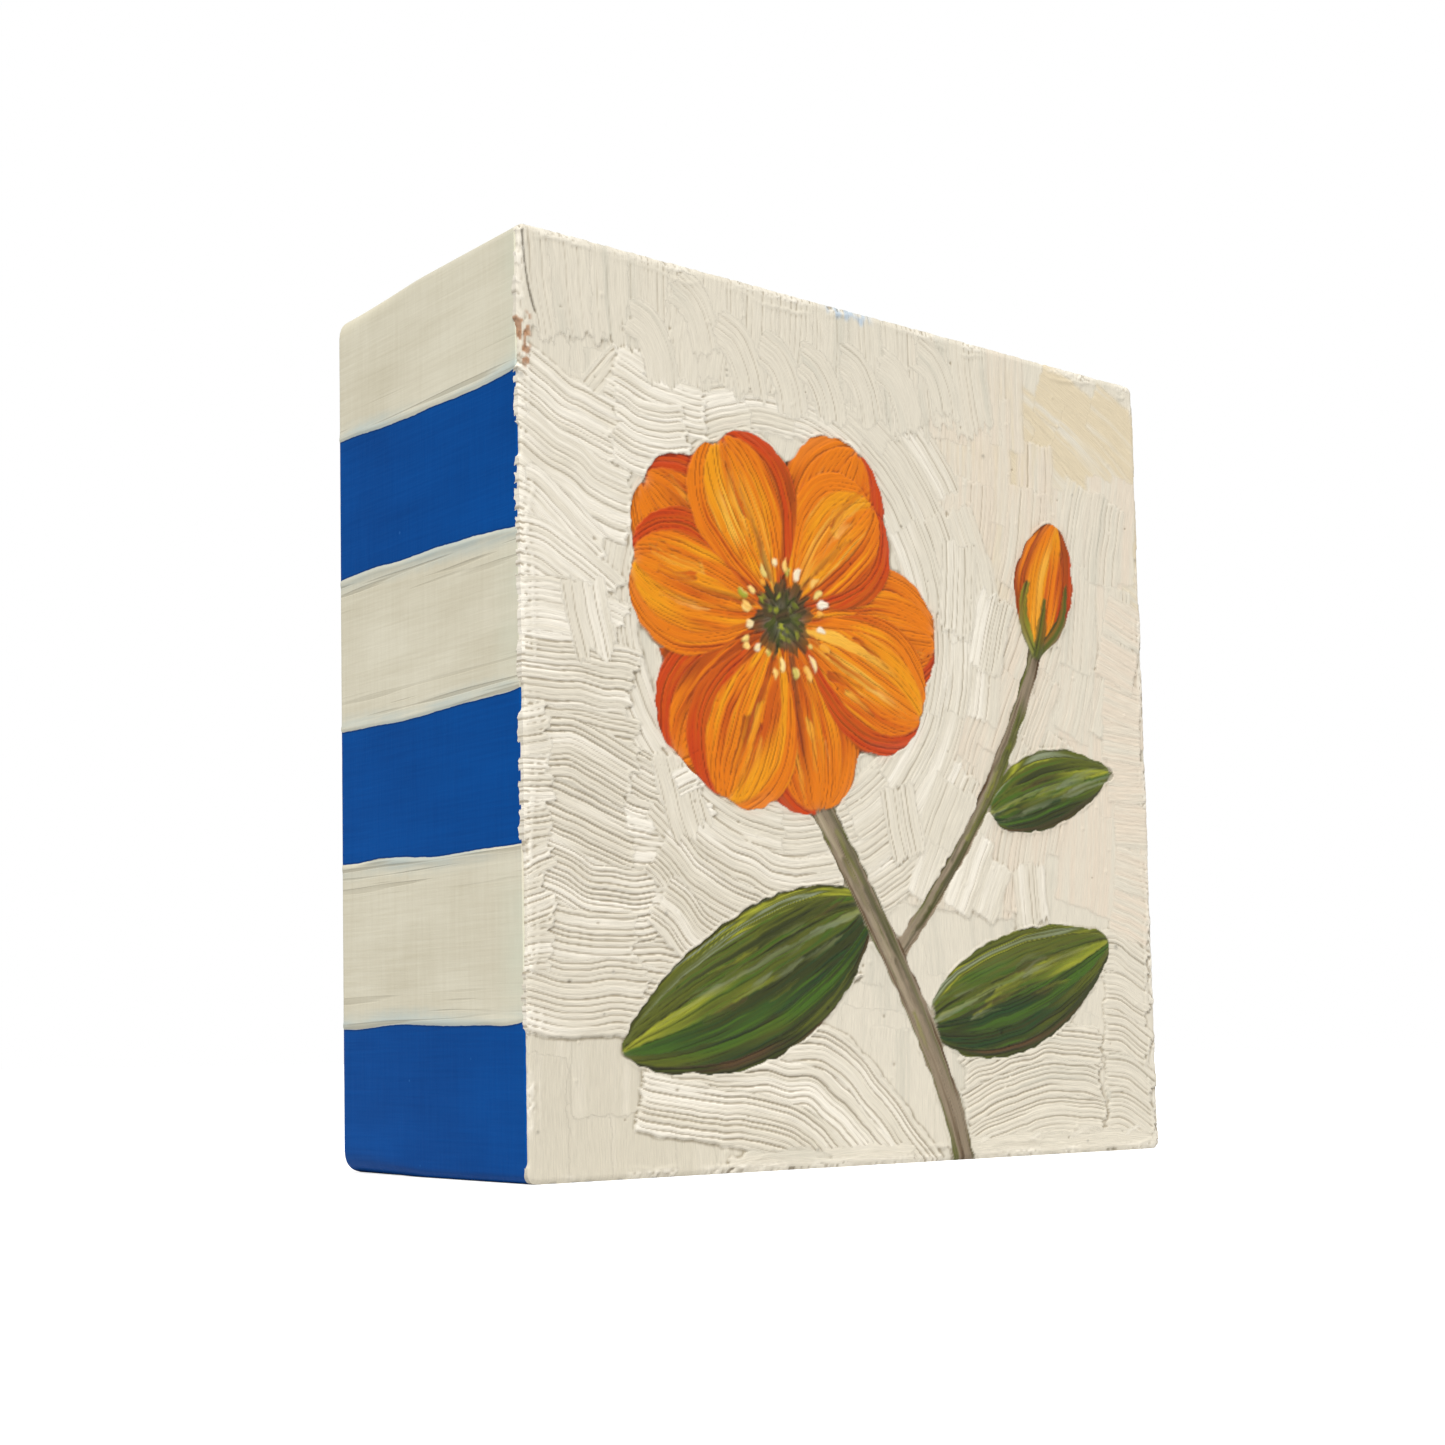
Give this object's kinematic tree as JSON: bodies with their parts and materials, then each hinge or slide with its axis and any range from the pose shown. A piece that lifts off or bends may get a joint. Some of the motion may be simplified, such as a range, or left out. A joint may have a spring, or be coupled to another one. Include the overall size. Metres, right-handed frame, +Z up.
{
  "type": "painted wood block",
  "caption": "Small square painting panel on a deep wood cradle, with a thickly brushed oil front, broad striped painted sides and an open recess at the back.",
  "frame": {"origin": "middle of the base, in the plane that it stands on", "axes": "+Z up, -Y out of the painted front, +Y out of the open back, +X to the right as seen from the front"},
  "size_m": [0.1018, 0.037, 0.1017],
  "materials": {
    "oil_paint": null,
    "striped_paint": "thin hand-painted coat, satin, broad blue and cream stripes",
    "birch_plywood": "bare sanded birch plywood",
    "pine": "bare sanded pine strip"
  },
  "bodies": {
    "root": {"oil_layer": "oil_paint", "coat_left": "striped_paint", "coat_right": "striped_paint", "coat_top": "striped_paint", "coat_bottom": "striped_paint", "face_panel": "birch_plywood", "cradle_top": "pine", "cradle_bottom": "pine", "cradle_left": "pine", "cradle_right": "pine"}
  },
  "joints": []
}
